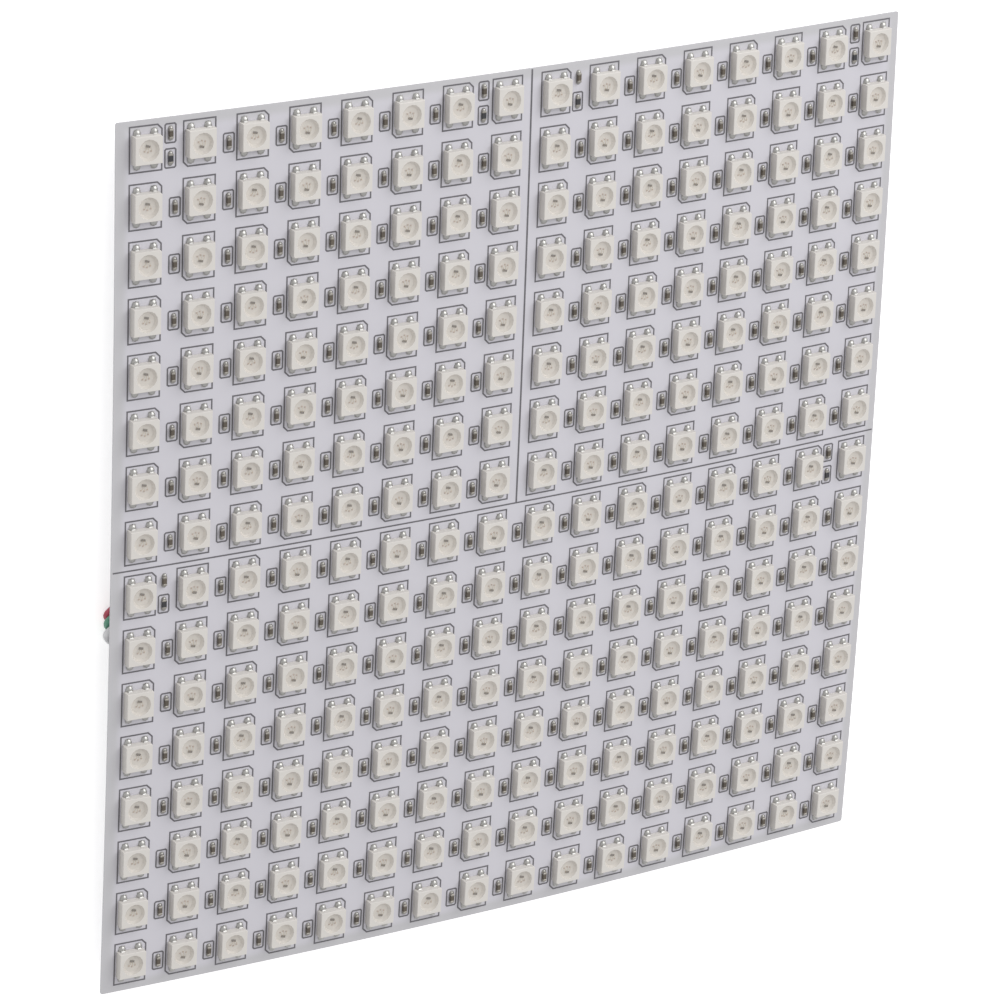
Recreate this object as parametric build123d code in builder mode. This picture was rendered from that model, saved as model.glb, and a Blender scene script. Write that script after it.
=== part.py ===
from build123d import *
from math import asin, atan2, cos, degrees, hypot, radians, sin, tan
import os

# Flexible square LED matrix panel, lying on its back with the LEDs up.
# Millimetres. +X runs to the right along a row, +Y runs up a column, +Z is up.
# The sheet is bowed, its middle proud. It rests on its two right hand corners and on
# the connector of its lead, which is tucked under the left half.

# Grid of LED packages
rows = 16
columns = 16
pitch = 10.0
grid_shift_x = 0.22
grid_shift_y = 0.17
solder_height = 0.02

# Circuit sheet: as large as the grid, with a narrow border
border_across = 0.3
border_along = 0.2
sheet_width = columns * pitch + 2 * border_across
sheet_height = rows * pitch + 2 * border_along
sheet_thickness = 0.3
sheet_corner_radius = 0.4
bow_radius_across = 1338.0
bow_radius_along = 2778.0

# One LED package
led_size = 5.0
led_top_size = 4.8
led_height = 1.6
cup_diameter = 3.6
cup_sides = 6
cup_depth = 0.75

# Chip capacitors beside the LEDs, and the data line resistors
capacitor_width = 0.85
capacitor_length = 1.7
capacitor_height = 0.8
capacitor_offset_x = -4.53
capacitor_offset_y = -0.77
resistor_width = 0.85
resistor_length = 1.6
resistor_height = 0.45
pair_offset_x = 4.56
centred_pair_offset_x = 5.16
pair_capacitor_offset_y = 2.18
pair_resistor_offset_y = -2.17
empty_gap = columns // 2
last_gap = columns - 1
lower_half = rows // 2 + 1
pair_gaps = {(1, 1): pair_offset_x, (empty_gap - 1, 1): centred_pair_offset_x,
             (empty_gap + 1, 1): pair_offset_x, (last_gap, 1): centred_pair_offset_x,
             (1, lower_half): pair_offset_x, (last_gap, lower_half): pair_offset_x}

# Solder pads on the back of the sheet, each set so far in from its side edge
pad_thickness = 0.05
pad_gap = 0.005
pad_width = 1.8
pad_length = 3.2
pad_pitch = 2.6
lead_pads_inset = 14.75
lead_pads_y = -3.5
output_pads_inset = 8.25
output_pads_y = 5.0
power_pads_inset = 14.75
power_pads_y = 9.0
power_pad_pitch = 4.0

# Solder joints of the lead
joint_width = 1.6
joint_length = 2.6
joint_inset = 13.25
joint_gap = 0.03

# Connector at the end of the lead
connector_inset = 43.25
housing_length = 15.5
housing_width = 10.0
housing_height = 4.9
housing_edge = 0.4
contact_pitch = 2.5
channel_size = 1.8
latch_width = 4.0
latch_height = 1.0
latch_thickness = 0.5
latch_length = 9.5
latch_root_length = 2.0
latch_hook_length = 1.5
contact_size = 1.6
contact_bore = 0.9
contact_length = 7.0
contact_inset = 0.6
rest_gap = 0.1

# Lead: three insulated wires, folded tightly at the left edge of the sheet
wire_diameter = 1.4
wire_sides = 6
least_arc = 0.45
fold_inset = 0.85
fold_gap = 0.045


# Pose of the sheet: how far it tips when its left half lies on the connector
def bow_drop(across, along):
    """Height that the sheet loses from its middle to a point of it."""
    drop_across = bow_radius_across * (1 - cos(across / bow_radius_across))
    ring = bow_radius_along - drop_across
    return bow_radius_along - ring * cos(along / bow_radius_along)


left_edge = -sheet_width / 2
connector_x = left_edge + connector_inset
corner_drop = bow_drop(sheet_width / 2, sheet_height / 2)
support_height = housing_height + latch_height + rest_gap
support_reach = sheet_width / 2 - connector_x
support_drop = corner_drop - bow_drop(connector_x, 0)
tilt = asin(support_height / hypot(support_reach, support_drop)) - atan2(support_drop, support_reach)
middle_height = sheet_width / 2 * sin(tilt) + (corner_drop + sheet_thickness) * cos(tilt)
rest = Plane(origin=(0, 0, middle_height), z_dir=(sin(tilt), 0, cos(tilt)),
             x_dir=(cos(tilt), 0, -sin(tilt)))


def on_sheet(across, along, lift=0.0):
    """Plane on the LED side of the bowed sheet at a point of it, or lift above it."""
    turn_along = Rot(X=-degrees(along / bow_radius_along))
    turn_across = Rot(Y=degrees(across / bow_radius_across))
    bend_along = Pos(Z=-bow_radius_along) * turn_along * Pos(Z=bow_radius_along)
    bend_across = Pos(Z=-bow_radius_across) * turn_across * Pos(Z=bow_radius_across)
    return Plane(rest.location * bend_along * bend_across * Pos(Z=lift))


def height_under_sheet(inset, along, gap):
    """Height of a point so far below the back of the sheet and so far in from its left edge."""
    return on_sheet(left_edge + inset, along, -sheet_thickness - gap).origin.Z


def column_x(column):
    return (column - (columns + 1) / 2) * pitch + grid_shift_x


def row_y(row):
    return ((rows + 1) / 2 - row) * pitch + grid_shift_y


def save(piece, name):
    piece.part.label = name
    export_step(piece.part, f"parts/{name}.step")


os.makedirs("parts", exist_ok=True)

# Circuit sheet: the bowed section is turned about the far axis of the second bow
foot = on_sheet(0, -sheet_height / 2)
section_plane = Plane(origin=foot.origin, x_dir=foot.x_dir, z_dir=-foot.y_dir)
bend_start = 90 - degrees(sheet_width / 2 / bow_radius_across)
bend_size = degrees(sheet_width / bow_radius_across)
turn_axis = Axis(rest.from_local_coords(Vector(0, 0, -bow_radius_along)), rest.x_dir)

with BuildPart() as flex_circuit:
    with BuildSketch(section_plane):
        with BuildLine():
            upper = CenterArc((0, -bow_radius_across), bow_radius_across, bend_start, bend_size)
            lower = CenterArc((0, -bow_radius_across), bow_radius_across - sheet_thickness,
                              bend_start, bend_size)
            Line(upper @ 0, lower @ 0)
            Line(upper @ 1, lower @ 1)
        make_face()
    revolve(axis=turn_axis, revolution_arc=-degrees(sheet_height / bow_radius_along))
    corners = flex_circuit.edges().filter_by(lambda edge: edge.length < 2 * sheet_thickness)
    fillet(corners, radius=sheet_corner_radius)
save(flex_circuit, "flex_circuit")

# LED package: a tapered moulded body with the reflector cup that narrows to the chip
with BuildPart() as led_package:
    with BuildSketch():
        Rectangle(led_size, led_size)
    with BuildSketch(Plane.XY.offset(led_height)):
        Rectangle(led_top_size, led_top_size)
    loft()
    with BuildSketch(Plane.XY.offset(led_height)) as cup_mouth:
        RegularPolygon(cup_diameter / 2, cup_sides, rotation=180 / cup_sides)
    loft([cup_mouth.sketch.face(), Vertex(0, 0, led_height - cup_depth)], mode=Mode.SUBTRACT)

# Columns of LEDs: every second column is turned by half a turn, as the data line snakes
for column in range(1, columns + 1):
    half_turn = 180 if column % 2 == 0 else 0
    seats = [on_sheet(column_x(column), row_y(row), solder_height).location * Rot(Z=half_turn)
             for row in range(1, rows + 1)]
    with BuildPart() as led_column:
        with Locations(*seats):
            add(led_package.part)
    save(led_column, f"led_column_{column:02d}")

# Chip parts: one capacitor left of each LED, or a capacitor over a resistor where the data
# line starts or ends. The empty gap holds its capacitors in the lower half only.
with BuildPart() as capacitor:
    Box(capacitor_width, capacitor_length, capacitor_height, align=(Align.CENTER, Align.CENTER, Align.MIN))

with BuildPart() as resistor:
    Box(resistor_width, resistor_length, resistor_height, align=(Align.CENTER, Align.CENTER, Align.MIN))

for gap in range(1, columns):
    seats = []
    for row in range(1, rows + 1):
        if (gap, row) in pair_gaps:
            across = column_x(gap) + pair_gaps[(gap, row)]
            along = row_y(row) + pair_capacitor_offset_y
        elif gap == empty_gap and row <= rows / 2:
            continue
        else:
            across = column_x(gap + 1) + capacitor_offset_x
            along = row_y(row) + capacitor_offset_y
        seats.append(on_sheet(across, along, solder_height).location)
    with BuildPart() as capacitors:
        with Locations(*seats):
            add(capacitor.part)
    save(capacitors, f"capacitors_{gap:02d}")

seats = [on_sheet(column_x(gap) + offset, row_y(row) + pair_resistor_offset_y, solder_height).location
         for (gap, row), offset in pair_gaps.items()]
with BuildPart() as data_resistors:
    with Locations(*seats):
        add(resistor.part)
save(data_resistors, "data_resistors")


# Solder pads on the back: lead, data output and a direct power feed
with BuildPart() as pad:
    Box(pad_length, pad_width, pad_thickness, align=(Align.CENTER, Align.CENTER, Align.MAX))


def build_pads(name, across, along, count, spacing):
    """A row of pads on the back of the sheet, its middle at a point of the sheet."""
    seats = [on_sheet(across, along + (index - (count - 1) / 2) * spacing, -sheet_thickness - pad_gap).location
             for index in range(count)]
    with BuildPart() as pads:
        with Locations(*seats):
            add(pad.part)
    save(pads, name)


build_pads("lead_pads", left_edge + lead_pads_inset, lead_pads_y, 3, pad_pitch)
build_pads("output_pads", -left_edge - output_pads_inset, output_pads_y, 3, pad_pitch)
build_pads("power_pads", left_edge + power_pads_inset, power_pads_y, 2, power_pad_pitch)


# Routes of the wires: so far in from the left edge, along and up. Each runs from its solder
# joint behind the sheet to the fold, back along the floor in a loop, and into the connector.
joint_mid = height_under_sheet(joint_inset, lead_pads_y, pad_gap + pad_thickness) - joint_gap - joint_width / 2
fold_high = height_under_sheet(fold_inset, lead_pads_y, fold_gap) - wire_diameter / 2
wire_low = wire_diameter / 2
wire_mid = housing_height / 2
contact_back = connector_inset - housing_length / 2 + contact_inset + contact_length


def from_left_edge(route):
    return [(left_edge + inset, along, height) for inset, along, height in route]


red_points = from_left_edge([
    (joint_inset, lead_pads_y + pad_pitch, joint_mid), (fold_inset, -8.75, fold_high),
    (fold_inset, -9.15, wire_low), (10.4, -14.8, wire_low), (25.0, -22.8, wire_low),
    (42.4, -27.6, wire_low), (60.6, -27.2, wire_low), (74.6, -19.6, wire_low),
    (79.4, -9.2, wire_low), (74.4, -2.1, wire_low), (66.0, -1.7, 0.8), (58.2, -2.4, 2.1),
    (53.2, -contact_pitch, wire_mid), (contact_back, -contact_pitch, wire_mid)])
green_points = from_left_edge([
    (joint_inset, lead_pads_y, joint_mid), (fold_inset, -10.5, fold_high),
    (fold_inset, -10.9, wire_low), (9.7, -16.4, wire_low), (24.2, -24.5, wire_low),
    (42.2, -29.4, wire_low), (61.2, -29.0, wire_low), (76.2, -20.6, wire_low),
    (81.5, -8.2, wire_low), (75.5, 0.5, wire_low), (66.2, 0.3, 0.8), (58.2, -0.1, 2.1),
    (53.2, 0.0, wire_mid), (contact_back, 0.0, wire_mid)])
white_points = from_left_edge([
    (joint_inset, lead_pads_y - pad_pitch, joint_mid), (fold_inset, -12.25, fold_high),
    (fold_inset, -12.65, wire_low), (9.0, -18.0, wire_low), (23.4, -26.2, wire_low),
    (42.0, -31.2, wire_low), (61.8, -30.8, wire_low), (77.8, -21.6, wire_low),
    (83.6, -7.2, wire_low), (76.6, 3.1, wire_low), (66.2, 2.3, 0.8), (58.2, 2.6, 2.1),
    (53.2, contact_pitch, wire_mid), (contact_back, contact_pitch, wire_mid)])


# Solder joints: a mound on each lead pad, its flat end against the end of the wire
with BuildPart() as lead_joints:
    for points in (red_points, green_points, white_points):
        wire_end = Vector(*points[0])
        along_wire = (wire_end - Vector(*points[1])).normalized()
        joint_plane = Plane(origin=wire_end, x_dir=Vector(0, 0, 1).cross(along_wire), z_dir=along_wire)
        with BuildSketch(joint_plane):
            Circle(joint_width / 2)
            with Locations((0, joint_width / 4)):
                Rectangle(joint_width, joint_width / 2)
    extrude(amount=joint_length)
save(lead_joints, "lead_joints")


# Wires
def arc_radii(points):
    """Radius of each corner: as large as its two runs allow."""
    radii = []
    for before, corner, after in zip(points, points[1:], points[2:]):
        run_in = Vector(*corner) - Vector(*before)
        run_out = Vector(*after) - Vector(*corner)
        half_turn = radians(run_in.get_angle(run_out)) / 2
        radii.append(least_arc * min(run_in.length, run_out.length) / tan(half_turn))
    return radii


def build_wire(name, points):
    radii = arc_radii(points)
    with BuildPart() as wire:
        with BuildLine() as route:
            FilletPolyline(*points, radius=radii)
        start_direction = route.line % 0
        level = Vector(0, 0, 1).cross(start_direction)
        with BuildSketch(Plane(origin=route.line @ 0, x_dir=level, z_dir=start_direction)) as section:
            RegularPolygon(wire_diameter / 2, wire_sides, rotation=180 / wire_sides)
        sweep()
    save(wire, name)
    length = sum(edge.length for edge in route.edges())
    print(name, "length", round(length, 1), "radii", [round(radius, 1) for radius in radii],
          "volume share", round(wire.part.volume / (section.sketch.area * length), 4))


build_wire("red_wire", red_points)
build_wire("green_wire", green_points)
build_wire("white_wire", white_points)

# Connector housing: a block with three open channels and a sprung latch arm on top
latch_front = connector_x - housing_length / 2
mating_face = Plane(origin=(latch_front, 0, housing_height / 2), x_dir=(0, -1, 0), z_dir=(-1, 0, 0))
latch_top = housing_height + latch_height
with BuildPart() as connector_housing:
    with BuildSketch(Plane.XY):
        with Locations((connector_x, 0)):
            Rectangle(housing_length, housing_width)
    extrude(amount=housing_height)
    chamfer(connector_housing.edges().filter_by(Axis.X), length=housing_edge)
    with BuildSketch(mating_face):
        with GridLocations(contact_pitch, contact_pitch, 3, 1):
            Rectangle(channel_size, channel_size)
    extrude(amount=-housing_length, mode=Mode.SUBTRACT)
    with BuildSketch(Plane.XZ.offset(-latch_width / 2)):
        with BuildLine():
            Polyline((latch_front, housing_height), (latch_front, latch_top),
                     (latch_front + latch_length - latch_hook_length, latch_top - latch_thickness / 2),
                     (latch_front + latch_length, latch_top - latch_thickness),
                     (latch_front + latch_length, latch_top - 1.6 * latch_thickness),
                     (latch_front + latch_root_length, latch_top - 1.2 * latch_thickness),
                     (latch_front + latch_root_length, housing_height), close=True)
        make_face()
    extrude(amount=latch_width)
save(connector_housing, "connector_housing")

# Contacts: crimped sleeves inside the channels
contact_face = mating_face.offset(-contact_inset)
with BuildPart() as connector_contacts:
    with BuildSketch(contact_face):
        with GridLocations(contact_pitch, contact_pitch, 3, 1):
            Rectangle(contact_size, contact_size)
            Rectangle(contact_bore, contact_bore, mode=Mode.SUBTRACT)
    extrude(amount=-contact_length)
save(connector_contacts, "connector_contacts")
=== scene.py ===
import math

import bmesh
import bpy
from mathutils import Euler, Matrix, Vector


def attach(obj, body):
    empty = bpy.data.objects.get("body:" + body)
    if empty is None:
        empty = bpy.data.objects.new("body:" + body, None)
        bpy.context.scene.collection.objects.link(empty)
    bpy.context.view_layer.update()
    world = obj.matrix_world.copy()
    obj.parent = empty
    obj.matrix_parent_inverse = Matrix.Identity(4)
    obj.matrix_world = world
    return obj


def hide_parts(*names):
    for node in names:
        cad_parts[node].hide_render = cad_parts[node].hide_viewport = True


bl_info = {
    "name": "LED Matrix Panel",
    "version": (1, 0, 0),
    "blender": (4, 5, 0),
    "location": "View3D > Sidebar > LED Panel",
    "description": "Dresses the flexible 16 by 16 LED matrix panel and its three wire lead",
    "category": "Object",
}

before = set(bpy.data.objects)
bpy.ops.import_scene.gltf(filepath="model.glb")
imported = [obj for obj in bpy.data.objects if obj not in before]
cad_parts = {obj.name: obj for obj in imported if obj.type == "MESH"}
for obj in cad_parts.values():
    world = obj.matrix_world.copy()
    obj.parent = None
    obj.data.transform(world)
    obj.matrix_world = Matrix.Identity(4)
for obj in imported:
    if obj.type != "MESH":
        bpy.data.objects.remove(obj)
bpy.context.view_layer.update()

# The flat work is drawn in millimetres, with the LED side of the sheet at height 0
MM = 0.001
ROWS = 16
COLUMNS = 16
PITCH = 10.0
GRID_SHIFT = (0.22, 0.17)
LED_SHIFT = (-0.1, 0.08)
SHEET_SIZE = (160.6, 160.4)
SHEET_THICKNESS = 0.3
SHEET_CORNER = 0.4
SHEET_SQUARES = 60

# How the sheet lies: the radii of its bow, its tip to the right, and its middle over the floor
BOW_ACROSS = 1338.0
BOW_ALONG = 2778.0
TILT = math.radians(1.43971)
MIDDLE_HEIGHT = 5.88179
# The print and the parts start this much above the sheet
SEAT = 0.02

# Distances from the middle of the sheet at which the painted shade of its greyer rim starts and has
# its full tone
SHADE_RIM_START = 77.6
SHADE_RIM_FULL = 79.2

# Places of the chip parts between the LED columns, the same as in the CAD. A pair is keyed by its
# gap and row, and stands that far right of the column on its left.
CAPACITOR_OFFSET = (-4.53, -0.77)
PAIR_CAPACITOR_RISE = 2.18
PAIR_RESISTOR_RISE = -2.17
EMPTY_GAP = 8
PAIRS = {(1, 1): 4.56, (7, 1): 5.16, (9, 1): 4.56, (15, 1): 5.16, (1, 9): 4.56, (15, 9): 4.56}
WITHOUT_BOX = ((9, 1), (1, 9))

# Printed boxes: size at the middle of the line, and the cuts of their corners
LED_BOX = (5.98, 7.95)
LED_BOX_CUTS = (0.88, 0, 0, 0)
CHIP_BOX = (2.0, 3.3)
CHIP_BOX_CUTS = (0.3, 0.3, 0.3, 0.3)
UNCUT = (0, 0, 0, 0)
# Size and middle of the upright and of the level dividing line. Their long sides are cut in parts,
# so that they follow the bow of the sheet.
DIVIDING_LINES = (((0.35, 79.9), (0.18, 40.05)), ((160.0, 0.28), (0.0, 0.1)))
LONG_SIDE = 10
LINE_CUTS = 40

# One LED package: heights above its seat, and the size of each step against the one below it
LED_CUTS = (0.3, 0, 0, 0)
LED_FOOT = 0.02
LED_MOULD_LINE = 0.7
LED_TOP_EDGE = 0.1
LED_LOWER_SHARE = 0.985
LED_UPPER_SHARE = 0.975
LED_TOP_SHARE = 0.97
CUP_SIDES = 16
CUP_FLOOR_SHARE = 0.78

# What lies in the cup. The bond wires land on the driver chip, closer together than the dies.
DRIVER_CHIP = (0.78, 0.38, 0.2)
DRIVER_CHIP_ALONG = 0.62
DRIVER_CHIP_TURN = -0.25
DIODE_DIE = (0.26, 0.26, 0.12)
DIODE_PLACES = ((-0.6, -0.25), (0.0, -0.45), (0.6, -0.25))
BOND_ALONG = 0.55
BOND_SPREAD_SHARE = 0.6
BOND_ARCH = ((0, 0), (0.3, 0.16), (0.7, 0.14), (1, 0))
BOND_HALF_WIDTH = 0.025
BOND_THICKNESS = 0.04
RESIN_SHARE = 0.99
RESIN_RIM_DROP = 0.03
RESIN_MIDDLE_DROP = 0.09

# The leads of an LED package with their pads and solder, at both sides of both ends
LEAD_ACROSS = 1.6
LEAD = (0.9, 0.34, 0.74)
LEAD_ALONG = 2.5
LEAD_RISE = 0.4
LEAD_EDGE = 0.13
LED_PAD = (1.2, 1.2, 0.01)
LED_PAD_ALONG = 2.9
LED_SOLDER = (1.45, 1.75, 0.55)
LED_SOLDER_ALONG = 2.72
LED_SOLDER_SHIFT = (LED_SHIFT[0] + 0.05, LED_SHIFT[1] - 0.1)

# Chip parts: the body's size and bevel, and the ends' size, bevel and distance from the middle
CHIP_BODY_LIFT = 0.01
CAPACITOR_SHIFT = -0.08
CAPACITOR_BODY = (0.72, 1.0, 0.64)
CAPACITOR_BODY_EDGE = 0.06
CAPACITOR_END = (0.77, 0.36, 0.68)
CAPACITOR_END_EDGE = 0.07
CAPACITOR_END_ALONG = 0.66
RESISTOR_BODY = (0.85, 1.1, 0.42)
RESISTOR_BODY_EDGE = 0.04
RESISTOR_END = (0.87, 0.3, 0.45)
RESISTOR_END_EDGE = 0.05
RESISTOR_END_ALONG = 0.65
CHIP_SOLDER = (0.95, 0.95, 0.4)
CHIP_SOLDER_ALONG = 0.85

# Routes of the three wires, in metres: solder joint, fold at the left edge, the loop on the
# floor and the way up into the connector
RED_ROUTE = [
    (-0.06705, -0.0009, 0.0047), (-0.0726, -0.004, 0.00415), (-0.0756, -0.00595, 0.0031),
    (-0.0791, -0.00875, 0.00185), (-0.0784, -0.0102, 0.00085), (-0.0752, -0.01195, 0.0007),
    (-0.0699, -0.0148, 0.0007), (-0.0553, -0.0228, 0.0007), (-0.0379, -0.0276, 0.0007),
    (-0.0197, -0.0272, 0.0007), (-0.0057, -0.0196, 0.0007), (-0.0009, -0.0092, 0.0007),
    (-0.0059, -0.0021, 0.0007), (-0.0143, -0.0017, 0.0008), (-0.0221, -0.0024, 0.0021),
    (-0.0271, -0.0025, 0.00245), (-0.0372, -0.0025, 0.00245)]
GREEN_ROUTE = [
    (-0.06705, -0.0035, 0.0047), (-0.07315, -0.00595, 0.00445), (-0.07625, -0.0074, 0.0042),
    (-0.07955, -0.00945, 0.0032), (-0.07885, -0.0114, 0.0016), (-0.0757, -0.0136, 0.0007),
    (-0.0706, -0.0164, 0.0007), (-0.0561, -0.0245, 0.0007), (-0.0381, -0.0294, 0.0007),
    (-0.0191, -0.029, 0.0007), (-0.0041, -0.0206, 0.0007), (0.0012, -0.0082, 0.0007),
    (-0.0048, 0.0005, 0.0007), (-0.0141, 0.0003, 0.0008), (-0.0221, -0.0001, 0.0021),
    (-0.0271, 0.0, 0.00245), (-0.0372, 0.0, 0.00245)]
WHITE_ROUTE = [
    (-0.06705, -0.0061, 0.0047), (-0.0734, -0.008, 0.00445), (-0.0765, -0.00915, 0.00445),
    (-0.07975, -0.0111, 0.00402), (-0.07925, -0.0132, 0.0018), (-0.0758, -0.016, 0.0007),
    (-0.0713, -0.018, 0.0007), (-0.0569, -0.0262, 0.0007), (-0.0383, -0.0312, 0.0007),
    (-0.0185, -0.0308, 0.0007), (-0.0025, -0.0216, 0.0007), (0.0033, -0.0072, 0.0007),
    (-0.0037, 0.0031, 0.0007), (-0.0141, 0.0023, 0.0008), (-0.0221, 0.0026, 0.0021),
    (-0.0271, 0.0025, 0.00245), (-0.0372, 0.0025, 0.00245)]

# Camera, floor and light
LENS = 198.846
CAMERA_PLACE = (-0.48551, 0.35465, 0.78044)
CAMERA_TURN = (-22.6341, -30.9503, 2.7953)
FLOOR_REACH = 3.0
FLOOR_GLOW = 0.6
WORLD_STRENGTH = 0.69
LAMP_PLACE = (0.72, 0.9, 0.87)
LAMP_SIZE = 1.1
LAMP_POWER = 12.5

# Sockets of a Mix node for colours, where the names stand for several sockets each
MIX_FACTOR, MIX_FIRST, MIX_SECOND, MIX_RESULT = 0, 6, 7, 2


def linear(hex_colour):
    """Linear colour with alpha from an sRGB hex value."""
    parts = [int(hex_colour[start:start + 2], 16) / 255 for start in (1, 3, 5)]
    return tuple(part / 12.92 if part <= 0.04045 else ((part + 0.055) / 1.055) ** 2.4
                 for part in parts) + (1.0,)


class PanelSizes(bpy.types.PropertyGroup):
    """Sizes of the parts that are dressed here"""

    led_width: bpy.props.FloatProperty(
        name="LED width", description="Width of an LED package at its mould line, across the leads",
        default=0.0052, unit="LENGTH", precision=5)
    led_length: bpy.props.FloatProperty(
        name="LED length",
        description="Length of an LED package at its mould line, along the leads",
        default=0.005, unit="LENGTH", precision=5)
    led_height: bpy.props.FloatProperty(
        name="LED height", description="Height of an LED package above the sheet",
        default=0.0016, unit="LENGTH", precision=5)
    cup_diameter: bpy.props.FloatProperty(
        name="Cup diameter", description="Mouth of the reflector cup in an LED package",
        default=0.00385, unit="LENGTH", precision=5)
    cup_depth: bpy.props.FloatProperty(
        name="Cup depth", description="Depth of the reflector cup",
        default=0.0006, unit="LENGTH", precision=5)
    print_width: bpy.props.FloatProperty(
        name="Print width", description="Width of the printed outlines round the parts",
        default=0.00028, unit="LENGTH", precision=5)
    wire_diameter: bpy.props.FloatProperty(
        name="Wire diameter", description="Outside diameter of an insulated wire",
        default=0.0014, unit="LENGTH", precision=5)


class PanelColours(bpy.types.PropertyGroup):
    """Colours of the finishes"""

    solder_mask: bpy.props.FloatVectorProperty(
        name="Solder mask", description="White coating of the circuit sheet",
        default=linear("#cdcbd2"), subtype="COLOR", size=4, min=0, max=1)
    print_ink: bpy.props.FloatVectorProperty(
        name="Print", description="Ink of the printed outlines",
        default=linear("#68666b"), subtype="COLOR", size=4, min=0, max=1)
    led_body: bpy.props.FloatVectorProperty(
        name="LED body", description="White moulded body of an LED package",
        default=linear("#d6d2cd"), subtype="COLOR", size=4, min=0, max=1)
    resin: bpy.props.FloatVectorProperty(
        name="Resin", description="Cloudy resin in the cup of an LED package",
        default=linear("#d8d1c8"), subtype="COLOR", size=4, min=0, max=1)
    ceramic: bpy.props.FloatVectorProperty(
        name="Capacitor ceramic", description="Brown ceramic of a chip capacitor",
        default=linear("#5a5248"), subtype="COLOR", size=4, min=0, max=1)
    resistor: bpy.props.FloatVectorProperty(
        name="Resistor glaze", description="Dark glaze of a chip resistor",
        default=linear("#37373a"), subtype="COLOR", size=4, min=0, max=1)
    red_wire: bpy.props.FloatVectorProperty(
        name="Red wire", description="Insulation of the supply wire",
        default=linear("#b23a52"), subtype="COLOR", size=4, min=0, max=1)
    green_wire: bpy.props.FloatVectorProperty(
        name="Green wire", description="Insulation of the data wire",
        default=linear("#4c8b72"), subtype="COLOR", size=4, min=0, max=1)
    white_wire: bpy.props.FloatVectorProperty(
        name="White wire", description="Insulation of the ground wire",
        default=linear("#d2d2d4"), subtype="COLOR", size=4, min=0, max=1)
    connector: bpy.props.FloatVectorProperty(
        name="Connector", description="White nylon of the connector housing",
        default=linear("#dedbd2"), subtype="COLOR", size=4, min=0, max=1)


# Flat work and how it is laid on the bowed sheet
def row_height(row):
    return ((ROWS + 1) / 2 - row) * PITCH + GRID_SHIFT[1]


def column_place(column):
    return (column - (COLUMNS + 1) / 2) * PITCH + GRID_SHIFT[0]


def led_places(column, shift=(0, 0)):
    """Places of the LEDs of a column on the flat sheet. Even columns are turned by half a turn."""
    across = column_place(column) + shift[0]
    turn = Matrix.Rotation(math.pi if column % 2 == 0 else 0, 4, "Z")
    return [Matrix.Translation((across, row_height(row) + shift[1], SEAT)) @ turn
            for row in range(1, ROWS + 1)]


def all_led_places(shift=(0, 0)):
    return [place for column in range(1, COLUMNS + 1) for place in led_places(column, shift)]


def capacitor_places(left_out=()):
    """Places of the capacitors on the flat sheet, without those of the gaps and rows left out."""
    places = []
    for gap in range(1, COLUMNS):
        for row in range(1, ROWS + 1):
            if (gap, row) in left_out:
                continue
            if (gap, row) in PAIRS:
                across = column_place(gap) + PAIRS[(gap, row)]
                along = row_height(row) + PAIR_CAPACITOR_RISE
            elif gap == EMPTY_GAP and row <= ROWS / 2:
                continue
            else:
                across = column_place(gap + 1) + CAPACITOR_OFFSET[0]
                along = row_height(row) + CAPACITOR_OFFSET[1]
            places.append(Matrix.Translation((across, along, SEAT)))
    return places


def resistor_places():
    """Places of the data line resistors on the flat sheet."""
    return [Matrix.Translation((column_place(gap) + offset,
                                row_height(row) + PAIR_RESISTOR_RISE, SEAT))
            for (gap, row), offset in PAIRS.items()]


def repeat(template, places):
    """A bmesh with a copy of the template at every place."""
    mesh = bpy.data.meshes.new("template")
    template.to_mesh(mesh)
    template.free()
    whole = bmesh.new()
    for place in places:
        copy = mesh.copy()
        copy.transform(place)
        whole.from_mesh(copy)
        bpy.data.meshes.remove(copy)
    bpy.data.meshes.remove(mesh)
    return whole


def lay_on_panel(bm):
    """Bends flat work to the bow of the sheet, tips it as the panel lies, and makes it metres."""
    rest = Matrix.Translation((0, 0, MIDDLE_HEIGHT)) @ Matrix.Rotation(TILT, 4, "Y")
    for vert in bm.verts:
        across, along, lift = vert.co
        turn_across = across / BOW_ACROSS
        turn_along = along / BOW_ALONG
        ring = BOW_ALONG - BOW_ACROSS * (1 - math.cos(turn_across)) + lift * math.cos(turn_across)
        bent = Vector(((BOW_ACROSS + lift) * math.sin(turn_across), ring * math.sin(turn_along),
                       ring * math.cos(turn_along) - BOW_ALONG))
        vert.co = rest @ bent * MM


def panel_piece(bm, name, material, closed=True, sharp=30):
    """Lays flat work on the panel and makes it a piece that rides on the one body."""
    if closed:
        bmesh.ops.recalc_face_normals(bm, faces=bm.faces)
    lay_on_panel(bm)
    mesh = bpy.data.meshes.new(name)
    bm.to_mesh(mesh)
    bm.free()
    mesh.shade_smooth()
    mesh.set_sharp_from_angle(angle=math.radians(sharp))
    mesh.materials.append(material)
    piece = bpy.data.objects.new(name, mesh)
    bpy.context.scene.collection.objects.link(piece)
    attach(piece, "root")
    return piece


def cut_rectangle(bm, width, length, cuts, height=0.0):
    """A flat face with cut corners; cuts runs anticlockwise from the top right corner."""
    corners = [(1, 1), (-1, 1), (-1, -1), (1, -1)]
    points = []
    for (side, end), cut in zip(corners, cuts):
        x, y = side * width / 2, end * length / 2
        if cut == 0:
            points.append((x, y))
        elif side == end:
            points += [(x, y - end * cut), (x - side * cut, y)]
        else:
            points += [(x - side * cut, y), (x, y - end * cut)]
    face = bm.faces.new([bm.verts.new((x, y, height)) for x, y in points])
    face.normal_update()
    return face


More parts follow.
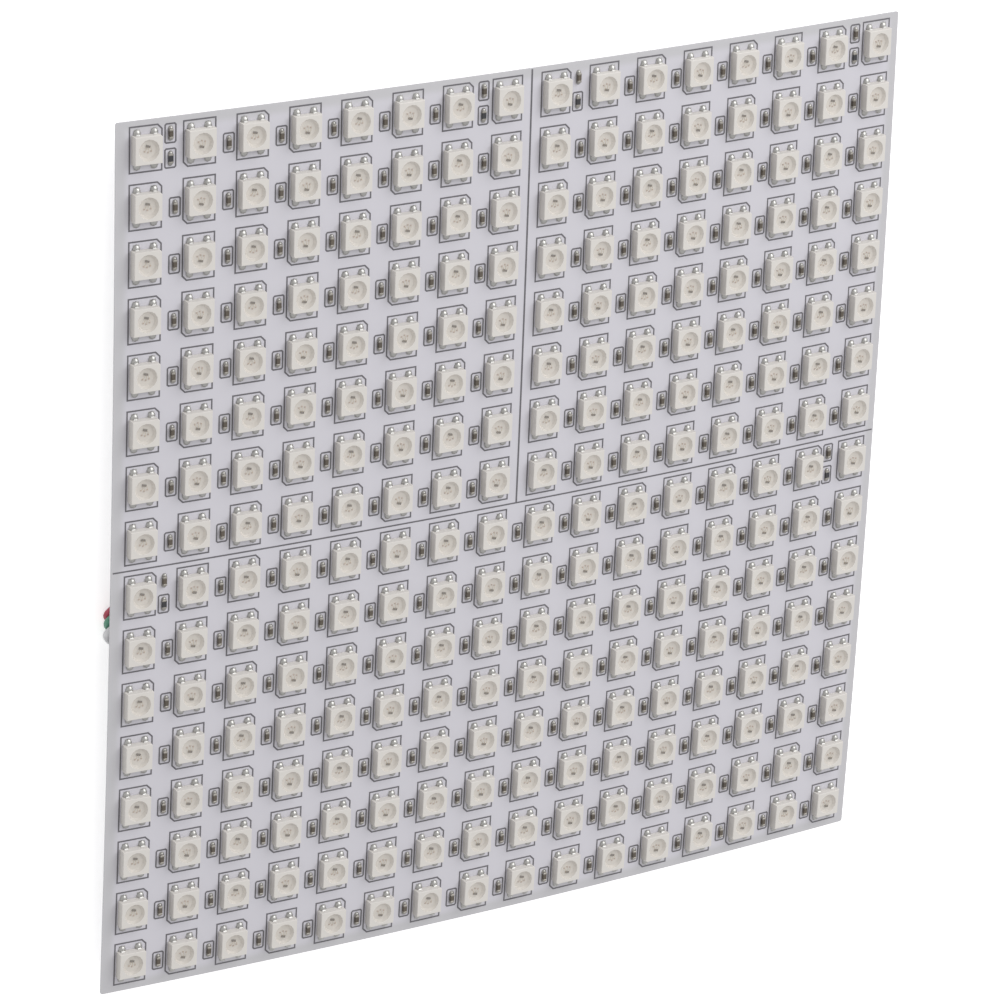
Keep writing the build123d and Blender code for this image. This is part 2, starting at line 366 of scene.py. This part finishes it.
def grow(bm, face, rise, ratio):
    """Extrudes a face upwards, scales its end about the middle and returns that end."""
    made = bmesh.ops.extrude_face_region(bm, geom=[face])["geom"]
    end = [item for item in made if isinstance(item, bmesh.types.BMFace)][0]
    bmesh.ops.translate(bm, verts=end.verts, vec=(0, 0, rise))
    bmesh.ops.scale(bm, verts=end.verts, vec=(ratio, ratio, 1))
    return end


def step_up(bm, face, rise, ratio):
    """As grow, without the inner face that an extrusion leaves."""
    end = grow(bm, face, rise, ratio)
    bmesh.ops.delete(bm, geom=[face], context="FACES_ONLY")
    return end


def edges_at(verts):
    """The edges at some vertices, each once and in a fixed order."""
    return list(dict.fromkeys(edge for vert in verts for edge in vert.link_edges))


def block(bm, size, middle, edge=0.0):
    """A box, with bevelled edges where they are given a size, added to the bmesh."""
    placed = Matrix.Translation(middle) @ Matrix.Diagonal((*size, 1))
    verts = bmesh.ops.create_cube(bm, size=1.0, matrix=placed)["verts"]
    if edge:
        bmesh.ops.bevel(bm, geom=edges_at(verts), offset=edge, affect="EDGES", segments=1,
                        profile=0.5, material=-1)


def mound(bm, size, middle):
    """A low dome of solder that stands on the sheet: half an ellipsoid."""
    made = bmesh.ops.create_uvsphere(bm, u_segments=10, v_segments=8, radius=0.5)
    bmesh.ops.scale(bm, verts=made["verts"], vec=(size[0], size[1], size[2] * 2))
    low = [vert for vert in made["verts"] if vert.co.z < -0.001]
    bmesh.ops.delete(bm, geom=low, context="VERTS")
    rest = [vert for vert in made["verts"] if vert.is_valid]
    bmesh.ops.translate(bm, verts=rest, vec=middle)


# Materials
def fill_inputs(tree, node, inputs):
    """Links an input that is given a socket, and sets any other to its value."""
    for name, value in inputs.items():
        if isinstance(value, bpy.types.NodeSocket):
            tree.links.new(value, node.inputs[name])
        else:
            node.inputs[name].default_value = value


def add_node(tree, kind, settings, inputs):
    """Adds a node with its settings, links and values."""
    node = tree.nodes.new(kind)
    for name, value in settings.items():
        setattr(node, name, value)
    fill_inputs(tree, node, inputs)
    return node


def set_shader(material, inputs):
    """Links or sets inputs of the material's Principled shader."""
    fill_inputs(material.node_tree, material.node_tree.nodes["Principled BSDF"], inputs)


def new_material(name):
    material = bpy.data.materials.new(name)
    material.use_nodes = True
    return material


def shade(colour, factor):
    return tuple(min(part * factor, 1.0) for part in colour[:3]) + (1.0,)


def grained(name, colour, roughness, patch_mm, grain_mm, spread, bump, depth_mm=0.02):
    """A finish with patches a little lighter and darker, and a fine grain in its surface."""
    material = new_material(name)
    tree = material.node_tree
    place = add_node(tree, "ShaderNodeTexCoord", {}, {}).outputs["Object"]
    patches = add_node(tree, "ShaderNodeTexNoise", {},
                       {"Vector": place, "Scale": 1 / (patch_mm * MM), "Detail": 3.0,
                        "Roughness": 0.55})
    tone = add_node(tree, "ShaderNodeMix", {"data_type": "RGBA"},
                    {MIX_FACTOR: patches.outputs["Fac"], MIX_FIRST: shade(colour, 1 - spread),
                     MIX_SECOND: shade(colour, 1 + spread)})
    grain = add_node(tree, "ShaderNodeTexNoise", {},
                     {"Vector": place, "Scale": 1 / (grain_mm * MM), "Detail": 2.0})
    relief = add_node(tree, "ShaderNodeBump", {},
                      {"Height": grain.outputs["Fac"], "Strength": bump, "Distance": depth_mm * MM})
    set_shader(material, {"Base Color": tone.outputs[MIX_RESULT],
                          "Normal": relief.outputs["Normal"], "Roughness": roughness})
    return material


def metal(name, colour, roughness, grain_mm):
    """A bare metal finish with fine uneven gloss."""
    material = grained(name, colour, roughness, patch_mm=grain_mm * 4, grain_mm=grain_mm,
                       spread=0.08, bump=0.2, depth_mm=0.01)
    set_shader(material, {"Metallic": 1.0})
    return material


class PANEL_OT_camera(bpy.types.Operator):
    """Places the camera at the viewing angle of the product picture"""

    bl_idname = "led_panel.camera"
    bl_label = "Camera"

    def execute(self, context):
        lens = bpy.data.cameras.new("picture_camera")
        lens.lens = LENS
        lens.sensor_width = 36
        lens.clip_start = 0.01
        lens.clip_end = 20
        camera = bpy.data.objects.new("picture_camera", lens)
        camera.location = CAMERA_PLACE
        camera.rotation_euler = Euler([math.radians(angle) for angle in CAMERA_TURN])
        context.scene.collection.objects.link(camera)
        context.scene.camera = camera
        return {"FINISHED"}


class PANEL_OT_lead(bpy.types.Operator):
    """Lays the three insulated wires from their solder joints to the connector"""

    bl_idname = "led_panel.lead"
    bl_label = "Lead"

    def execute(self, context):
        colours = context.scene.panel_colours
        diameter = context.scene.panel_sizes.wire_diameter
        # Name, route, colour, and the length from joint to contact that the CAD gives it
        wires = (("red_wire", RED_ROUTE, colours.red_wire, 0.1467),
                 ("green_wire", GREEN_ROUTE, colours.green_wire, 0.1528),
                 ("white_wire", WHITE_ROUTE, colours.white_wire, 0.1590))
        for name, route, colour, length in wires:
            # Extruded PVC insulation: a soft, even plastic with a satin sheen
            material = grained(f"pvc insulation {name}", tuple(colour), roughness=0.42,
                               patch_mm=6, grain_mm=0.25, spread=0.08, bump=0.2)
            set_shader(material, {"Coat Weight": 0.15, "Coat Roughness": 0.3})
            curve = bpy.data.curves.new(name + "_dressed", "CURVE")
            curve.dimensions = "3D"
            curve.resolution_u = 10
            curve.bevel_depth = diameter / 2
            curve.bevel_resolution = 5
            curve.use_fill_caps = True
            spline = curve.splines.new("NURBS")
            spline.points.add(len(route) - 1)
            for point, place in zip(spline.points, route):
                point.co = (*place, 1)
            spline.order_u = 3
            spline.use_endpoint_u = True
            curve.materials.append(material)
            wire = bpy.data.objects.new(name + "_dressed", curve)
            context.scene.collection.objects.link(wire)
            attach(wire, "root")
            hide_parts(name)
        return {"FINISHED"}


class PANEL_OT_circuit_sheet(bpy.types.Operator):
    """Makes the flexible circuit sheet with its white solder mask"""

    bl_idname = "led_panel.circuit_sheet"
    bl_label = "Circuit sheet"

    def execute(self, context):
        # Photo imaged white solder mask on polyimide: silky, with a faint cool cast
        material = grained("white solder mask", tuple(context.scene.panel_colours.solder_mask),
                           roughness=0.42, patch_mm=30, grain_mm=0.5, spread=0.025, bump=0.1,
                           depth_mm=0.015)
        # Painted shade: the mask is made a little greyer towards the rim of the sheet
        self.paint_rim_shade(material)
        bm = bmesh.new()
        bmesh.ops.create_grid(bm, x_segments=SHEET_SQUARES, y_segments=SHEET_SQUARES, size=0.5)
        bmesh.ops.scale(bm, verts=bm.verts, vec=(*SHEET_SIZE, 1))
        corners = [vert for vert in bm.verts if len(vert.link_edges) == 2]
        bmesh.ops.bevel(bm, geom=corners, offset=SHEET_CORNER, affect="VERTICES", segments=4,
                        profile=0.5, material=-1)
        made = bmesh.ops.extrude_face_region(bm, geom=bm.faces[:])["geom"]
        below = [item for item in made if isinstance(item, bmesh.types.BMVert)]
        bmesh.ops.translate(bm, verts=below, vec=(0, 0, -SHEET_THICKNESS))
        sheet = panel_piece(bm, "circuit_sheet", material)
        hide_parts("flex_circuit")
        return {"FINISHED"}

    @staticmethod
    def paint_rim_shade(material):
        """Paints shade into the mask: its colour turns a little greyer towards the rim of the
        sheet.
        """
        tree = material.node_tree
        place = add_node(tree, "ShaderNodeTexCoord", {}, {}).outputs["Object"]
        axes = add_node(tree, "ShaderNodeSeparateXYZ", {}, {"Vector": place}).outputs
        across, along = (add_node(tree, "ShaderNodeMath", {"operation": "ABSOLUTE"},
                                  {0: axes[axis]}).outputs[0] for axis in ("X", "Y"))
        reach = add_node(tree, "ShaderNodeMath", {"operation": "MAXIMUM"},
                         {0: across, 1: along}).outputs[0]
        rim = add_node(tree, "ShaderNodeMapRange", {"interpolation_type": "SMOOTHSTEP"},
                       {"Value": reach, "From Min": SHADE_RIM_START * MM, "From Max": SHADE_RIM_FULL * MM})
        coated = tree.nodes["Principled BSDF"].inputs["Base Color"].links[0].from_socket
        # Painted shade: the mask colour is multiplied by this grey at the rim
        rim_shaded = add_node(tree, "ShaderNodeMix", {"data_type": "RGBA", "blend_type": "MULTIPLY"},
                         {MIX_FACTOR: rim.outputs["Result"], MIX_FIRST: coated,
                          MIX_SECOND: linear("#f1f2ee")})
        set_shader(material, {"Base Color": rim_shaded.outputs[MIX_RESULT]})


class PANEL_OT_printing(bpy.types.Operator):
    """Prints the outlines round the parts and the dividing lines on the sheet"""

    bl_idname = "led_panel.printing"
    bl_label = "Printed outlines"

    def execute(self, context):
        width = context.scene.panel_sizes.print_width / MM
        # Screen printed epoxy ink: flat dark grey, a little thin in places
        material = grained("screen printed ink", tuple(context.scene.panel_colours.print_ink),
                           roughness=0.6, patch_mm=1.2, grain_mm=0.2, spread=0.25, bump=0.1,
                           depth_mm=0.01)
        printing = repeat(self.outline(LED_BOX, LED_BOX_CUTS, width), all_led_places())
        self.join(printing, repeat(self.outline(CHIP_BOX, CHIP_BOX_CUTS, width),
                                   capacitor_places(WITHOUT_BOX) + resistor_places()))
        lines = bmesh.new()
        for size, middle in DIVIDING_LINES:
            line = cut_rectangle(lines, *size, UNCUT, SEAT)
            bmesh.ops.translate(lines, verts=line.verts, vec=(*middle, 0))
        long_sides = [edge for edge in lines.edges if edge.calc_length() > LONG_SIDE]
        bmesh.ops.subdivide_edges(lines, edges=long_sides, cuts=LINE_CUTS, use_grid_fill=True)
        self.join(printing, lines)
        panel_piece(printing, "printed_outlines", material, closed=False)
        return {"FINISHED"}

    @staticmethod
    def outline(size, cuts, width):
        """A thin closed outline with cut corners."""
        bm = bmesh.new()
        face = cut_rectangle(bm, size[0] + width, size[1] + width, cuts)
        bmesh.ops.inset_region(bm, faces=[face], thickness=width, depth=0, use_even_offset=True,
                               use_boundary=True)
        bmesh.ops.delete(bm, geom=[face], context="FACES_ONLY")
        return bm

    @staticmethod
    def join(whole, part):
        mesh = bpy.data.meshes.new("part")
        part.to_mesh(mesh)
        part.free()
        whole.from_mesh(mesh)
        bpy.data.meshes.remove(mesh)


class PANEL_OT_led_bodies(bpy.types.Operator):
    """Moulds the white LED packages, one piece for each column"""

    bl_idname = "led_panel.led_bodies"
    bl_label = "LED bodies"

    def execute(self, context):
        sizes = context.scene.panel_sizes
        # Moulded white polyamide with a fine matt skin
        material = grained("moulded white polyamide", tuple(context.scene.panel_colours.led_body),
                           roughness=0.5, patch_mm=4, grain_mm=0.15, spread=0.02, bump=0.1,
                           depth_mm=0.01)
        for column in range(1, COLUMNS + 1):
            column_bm = repeat(self.body(sizes), led_places(column, LED_SHIFT))
            piece = panel_piece(column_bm, f"led_bodies_{column:02d}", material)
            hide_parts(f"led_column_{column:02d}")
        return {"FINISHED"}

    @staticmethod
    def body(sizes):
        """One package: a lower half, a wider upper half from the mould line up, and the cup."""
        top_height = sizes.led_height / MM - SEAT
        bm = bmesh.new()
        bottom = cut_rectangle(bm, sizes.led_width / MM, sizes.led_length / MM, LED_CUTS, LED_FOOT)
        bmesh.ops.scale(bm, verts=bottom.verts, vec=(LED_LOWER_SHARE, LED_LOWER_SHARE, 1))
        side = grow(bm, bottom, LED_MOULD_LINE - LED_FOOT, 1.0)
        ledge = step_up(bm, side, 0.0, 1 / LED_LOWER_SHARE)
        upper = step_up(bm, ledge, top_height - LED_TOP_EDGE - LED_MOULD_LINE, LED_UPPER_SHARE)
        top = step_up(bm, upper, LED_TOP_EDGE, LED_TOP_SHARE)
        rim = list(top.edges)
        bmesh.ops.delete(bm, geom=[top], context="FACES_ONLY")
        at_rim = Matrix.Translation((0, 0, rim[0].verts[0].co.z))
        mouth = bmesh.ops.create_circle(bm, segments=CUP_SIDES, radius=sizes.cup_diameter / MM / 2,
                                        matrix=at_rim)["verts"]
        mouth_edges = edges_at(mouth)
        bmesh.ops.triangle_fill(bm, edges=rim + mouth_edges, use_beauty=True, normal=(0, 0, 1))
        made = bmesh.ops.extrude_edge_only(bm, edges=mouth_edges)["geom"]
        floor = [item for item in made if isinstance(item, bmesh.types.BMVert)]
        floor_edges = [item for item in made if isinstance(item, bmesh.types.BMEdge)
                       and item.verts[0] in floor and item.verts[1] in floor]
        bmesh.ops.translate(bm, verts=floor, vec=(0, 0, -sizes.cup_depth / MM))
        bmesh.ops.scale(bm, verts=floor, vec=(CUP_FLOOR_SHARE, CUP_FLOOR_SHARE, 1))
        bmesh.ops.edgeloop_fill(bm, edges=floor_edges)
        return bm


class PANEL_OT_led_windows(bpy.types.Operator):
    """Fills the reflector cups: driver chip, diodes, bond wires and the cloudy resin over them"""

    bl_idname = "led_panel.led_windows"
    bl_label = "LED windows"

    def execute(self, context):
        sizes = context.scene.panel_sizes
        places = all_led_places(LED_SHIFT)
        top = sizes.led_height / MM - SEAT
        floor = top - sizes.cup_depth / MM
        chip_top = floor + SEAT + DRIVER_CHIP[2]
        die_top = floor + DIODE_DIE[2]

        # Diced silicon under the resin: nearly black with a brown cast, smooth
        silicon = grained("silicon driver chip", linear("#2c231f"), roughness=0.3, patch_mm=7,
                          grain_mm=0.1, spread=0.3, bump=0.1)
        chip = bmesh.new()
        block(chip, DRIVER_CHIP, (0, DRIVER_CHIP_ALONG, chip_top - DRIVER_CHIP[2] / 2))
        bmesh.ops.rotate(chip, verts=chip.verts, cent=(0, DRIVER_CHIP_ALONG, 0),
                         matrix=Matrix.Rotation(DRIVER_CHIP_TURN, 3, "Z"))
        panel_piece(repeat(chip, places), "driver_chips", silicon)

        # Diode dies of gallium compounds: small and reddish grey
        diode = grained("gallium diode dies", linear("#b5a49a"), roughness=0.35, patch_mm=7,
                        grain_mm=0.1, spread=0.15, bump=0.1)
        # Drawn gold bond wire: a warm, smooth metal, drawn thicker than it is so that it shows
        gold = metal("gold bond wire", linear("#bfa878"), roughness=0.3, grain_mm=0.3)
        dies = bmesh.new()
        wires = bmesh.new()
        for across, along in DIODE_PLACES:
            block(dies, DIODE_DIE, (across, along, die_top - DIODE_DIE[2] / 2))
            self.bond_wire(wires, (across, along, die_top),
                           (across * BOND_SPREAD_SHARE, BOND_ALONG, chip_top))
        panel_piece(repeat(dies, places), "diodes", diode)
        panel_piece(repeat(wires, places), "bond_wires", gold)

        # Cloudy epoxy resin with a glossy skin that dips a little in the middle
        resin = grained("cloudy epoxy resin", tuple(context.scene.panel_colours.resin),
                        roughness=0.12, patch_mm=1.5, grain_mm=0.8, spread=0.03, bump=0.05,
                        depth_mm=0.01)
        set_shader(resin, {"Alpha": 0.32, "Specular IOR Level": 0.5})
        radius = sizes.cup_diameter / MM / 2 * RESIN_SHARE
        disc = bmesh.new()
        bmesh.ops.create_circle(disc, cap_ends=True, cap_tris=True, segments=CUP_SIDES,
                                radius=radius)
        for vert in disc.verts:
            vert.co.z = top - (RESIN_RIM_DROP if vert.co.length > radius / 2
                               else RESIN_MIDDLE_DROP)
        window = panel_piece(repeat(disc, places), "resin_windows", resin,
                             closed=False, sharp=60)
        window.visible_shadow = False
        return {"FINISHED"}

    @staticmethod
    def bond_wire(bm, start, end):
        """A thin three sided wire that rises from one point, arches and comes down on another."""
        start, end = Vector(start), Vector(end)
        beside = (end - start).cross(Vector((0, 0, 1))).normalized() * BOND_HALF_WIDTH
        rings = []
        for share, lift in BOND_ARCH:
            middle = start.lerp(end, share) + Vector((0, 0, lift))
            rings.append([bm.verts.new(middle + offset)
                          for offset in (beside, -beside, Vector((0, 0, BOND_THICKNESS)))])
        for first, second in zip(rings, rings[1:]):
            for corner in range(3):
                after = (corner + 1) % 3
                bm.faces.new((first[corner], first[after], second[after], second[corner]))
        bm.faces.new(rings[0])
        bm.faces.new(rings[-1])


class PANEL_OT_led_leads(bpy.types.Operator):
    """Solders the four leads of every LED package to their pads"""

    bl_idname = "led_panel.led_leads"
    bl_label = "LED leads"

    def execute(self, context):
        places = all_led_places(LED_SHIFT)
        joints = all_led_places(LED_SOLDER_SHIFT)
        leads = bmesh.new()
        pads = bmesh.new()
        solder = bmesh.new()
        for end in (-1, 1):
            for side in (-1, 1):
                across = side * LEAD_ACROSS
                block(leads, LEAD, (across, end * LEAD_ALONG, LEAD_RISE), LEAD_EDGE)
                block(pads, LED_PAD, (across, end * LED_PAD_ALONG, -SEAT / 2))
                mound(solder, LED_SOLDER, (across, end * LED_SOLDER_ALONG, 0.0))
        # Tinned copper lead frame: bright, slightly brushed
        tinned = metal("tinned copper", linear("#c8c7c5"), roughness=0.5, grain_mm=0.5)
        panel_piece(repeat(leads, places), "led_leads", tinned)
        panel_piece(repeat(pads, joints), "led_pads", tinned)
        # Reflowed solder: a smooth wet looking metal
        reflowed = metal("reflowed solder", linear("#bab9b6"), roughness=0.4, grain_mm=1.5)
        panel_piece(repeat(solder, joints), "led_solder", reflowed, closed=False,
                    sharp=70)
        return {"FINISHED"}


class PANEL_OT_chip_parts(bpy.types.Operator):
    """Makes the chip capacitors and data resistors with their tinned ends and solder"""

    bl_idname = "led_panel.chip_parts"
    bl_label = "Chip parts"

    def execute(self, context):
        colours = context.scene.panel_colours
        capacitors_at = capacitor_places()
        resistors_at = resistor_places()

        # Fired brown ceramic of a multilayer capacitor: dense and slightly glossy
        ceramic = grained("fired brown ceramic", tuple(colours.ceramic), roughness=0.4, patch_mm=7,
                          grain_mm=0.1, spread=0.45, bump=0.15)
        body = bmesh.new()
        block(body, CAPACITOR_BODY, (CAPACITOR_SHIFT, 0, CAPACITOR_BODY[2] / 2 + CHIP_BODY_LIFT),
              CAPACITOR_BODY_EDGE)
        bodies = panel_piece(repeat(body, capacitors_at), "capacitor_bodies", ceramic)
        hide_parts(*[f"capacitors_{gap:02d}" for gap in range(1, COLUMNS)])

        # Dark glaze over a thick film resistor: smooth, with a dull gloss
        glaze = grained("resistor glaze", tuple(colours.resistor), roughness=0.35, patch_mm=0.8,
                        grain_mm=0.1, spread=0.1, bump=0.1)
        body = bmesh.new()
        block(body, RESISTOR_BODY, (0, 0, RESISTOR_BODY[2] / 2 + CHIP_BODY_LIFT),
              RESISTOR_BODY_EDGE)
        resistors = panel_piece(repeat(body, resistors_at), "resistor_bodies", glaze)
        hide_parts("data_resistors")

        # Plated tin ends of the chip parts: a dull grey metal
        tin = metal("plated tin ends", linear("#a8a49d"), roughness=0.5, grain_mm=0.4)
        ends = bmesh.new()
        low_ends = bmesh.new()
        solder = bmesh.new()
        for end in (-1, 1):
            block(ends, CAPACITOR_END,
                  (CAPACITOR_SHIFT, end * CAPACITOR_END_ALONG, CAPACITOR_END[2] / 2),
                  CAPACITOR_END_EDGE)
            block(low_ends, RESISTOR_END, (0, end * RESISTOR_END_ALONG, RESISTOR_END[2] / 2),
                  RESISTOR_END_EDGE)
            mound(solder, CHIP_SOLDER, (0, end * CHIP_SOLDER_ALONG, 0.0))
        panel_piece(repeat(ends, capacitors_at), "capacitor_ends", tin)
        panel_piece(repeat(low_ends, resistors_at), "resistor_ends", tin)
        # Solder fillets of the chip parts: as smooth as those of the LEDs, a little darker
        reflowed = metal("chip solder", linear("#aaa8a4"), roughness=0.42, grain_mm=1.0)
        panel_piece(repeat(solder, capacitors_at + resistors_at), "chip_solder", reflowed,
                    closed=False, sharp=70)
        return {"FINISHED"}


class PANEL_OT_back(bpy.types.Operator):
    """Finishes the pads and joints on the back, and the connector"""

    bl_idname = "led_panel.back"
    bl_label = "Back and connector"

    def execute(self, context):
        # Natural nylon 66: slightly waxy and translucent
        nylon = grained("moulded natural nylon", tuple(context.scene.panel_colours.connector),
                        roughness=0.45, patch_mm=3, grain_mm=0.3, spread=0.03, bump=0.15)
        set_shader(nylon, {"Subsurface Weight": 0.15, "Subsurface Radius": (0.001, 0.0009, 0.0008)})
        # Tinned copper pads, joints soldered by hand and tin plated brass: bright and smooth
        tin = metal("tinned pad", linear("#c9c8c6"), roughness=0.3, grain_mm=0.5)
        solder = metal("hand made solder joint", linear("#c6c5c3"), roughness=0.25, grain_mm=0.8)
        brass = metal("tin plated brass contact", linear("#c8c2b0"), roughness=0.3, grain_mm=0.4)
        finishes = {"connector_housing": nylon, "connector_contacts": brass, "lead_joints": solder,
                    "lead_pads": tin, "output_pads": tin, "power_pads": tin}
        for name, material in finishes.items():
            for material_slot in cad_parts[name].material_slots:
                material_slot.material = material
        return {"FINISHED"}


class PANEL_OT_stage(bpy.types.Operator):
    """Lays the pale floor and sets the soft studio light"""

    bl_idname = "led_panel.stage"
    bl_label = "Stage"

    def execute(self, context):
        bm = bmesh.new()
        bmesh.ops.create_grid(bm, x_segments=2, y_segments=2, size=FLOOR_REACH)
        mesh = bpy.data.meshes.new("floor")
        bm.to_mesh(mesh)
        bm.free()
        mesh.materials.append(self.paper())
        floor = bpy.data.objects.new("floor", mesh)
        context.scene.collection.objects.link(floor)

        world = bpy.data.worlds.new("soft studio")
        world.use_nodes = True
        background = world.node_tree.nodes["Background"]
        background.inputs["Color"].default_value = linear("#ffffff")
        background.inputs["Strength"].default_value = WORLD_STRENGTH
        context.scene.world = world
        context.scene.view_settings.view_transform = "Standard"

        # A large soft lamp that faces the middle of the panel
        light = bpy.data.lights.new("window_light", "AREA")
        light.size = LAMP_SIZE
        light.energy = LAMP_POWER
        lamp = bpy.data.objects.new("window_light", light)
        lamp.location = LAMP_PLACE
        lamp.rotation_euler = Vector(LAMP_PLACE).to_track_quat("Z", "Y").to_euler()
        context.scene.collection.objects.link(lamp)
        return {"FINISHED"}

    @staticmethod
    def paper():
        """Matt white paper. Its glow shows to the camera and in reflections, and lights nothing."""
        material = new_material("white paper floor")
        tree = material.node_tree
        rays = add_node(tree, "ShaderNodeLightPath", {}, {}).outputs
        seen = rays["Is Camera Ray"]
        for other in ("Is Glossy Ray", "Is Transmission Ray"):
            seen = add_node(tree, "ShaderNodeMath", {"operation": "MAXIMUM"},
                            {0: seen, 1: rays[other]}).outputs[0]
        glow = add_node(tree, "ShaderNodeMath", {"operation": "MULTIPLY"}, {0: seen, 1: FLOOR_GLOW})
        set_shader(material, {"Base Color": linear("#f7f7f7"), "Roughness": 0.9,
                              "Specular IOR Level": 0.1, "Emission Color": linear("#ffffff"),
                              "Emission Strength": glow.outputs[0]})
        return material


OPERATORS = (PANEL_OT_camera, PANEL_OT_lead, PANEL_OT_circuit_sheet, PANEL_OT_printing,
             PANEL_OT_led_bodies, PANEL_OT_led_windows, PANEL_OT_led_leads, PANEL_OT_chip_parts,
             PANEL_OT_back, PANEL_OT_stage)


class PANEL_PT_maker(bpy.types.Panel):
    """Lists the pieces of the LED panel and their sizes and colours"""

    bl_idname = "PANEL_PT_maker"
    bl_label = "LED Panel"
    bl_space_type = "VIEW_3D"
    bl_region_type = "UI"
    bl_category = "LED Panel"

    def draw(self, context):
        for operator in OPERATORS:
            self.layout.operator(operator.bl_idname)
        for group in (context.scene.panel_sizes, context.scene.panel_colours):
            for name in group.__annotations__:
                self.layout.prop(group, name)


CLASSES = (PanelSizes, PanelColours, *OPERATORS, PANEL_PT_maker)


def register():
    for kind in CLASSES:
        bpy.utils.register_class(kind)
    bpy.types.Scene.panel_sizes = bpy.props.PointerProperty(type=PanelSizes)
    bpy.types.Scene.panel_colours = bpy.props.PointerProperty(type=PanelColours)


def unregister():
    del bpy.types.Scene.panel_colours
    del bpy.types.Scene.panel_sizes
    for kind in reversed(CLASSES):
        bpy.utils.unregister_class(kind)


def main():
    register()
    bpy.ops.led_panel.camera()
    bpy.ops.led_panel.lead()
    bpy.ops.led_panel.circuit_sheet()
    bpy.ops.led_panel.printing()
    bpy.ops.led_panel.led_bodies()
    bpy.ops.led_panel.led_windows()
    bpy.ops.led_panel.led_leads()
    bpy.ops.led_panel.chip_parts()
    bpy.ops.led_panel.back()
    bpy.ops.led_panel.stage()


if __name__ == "__main__":
    main()
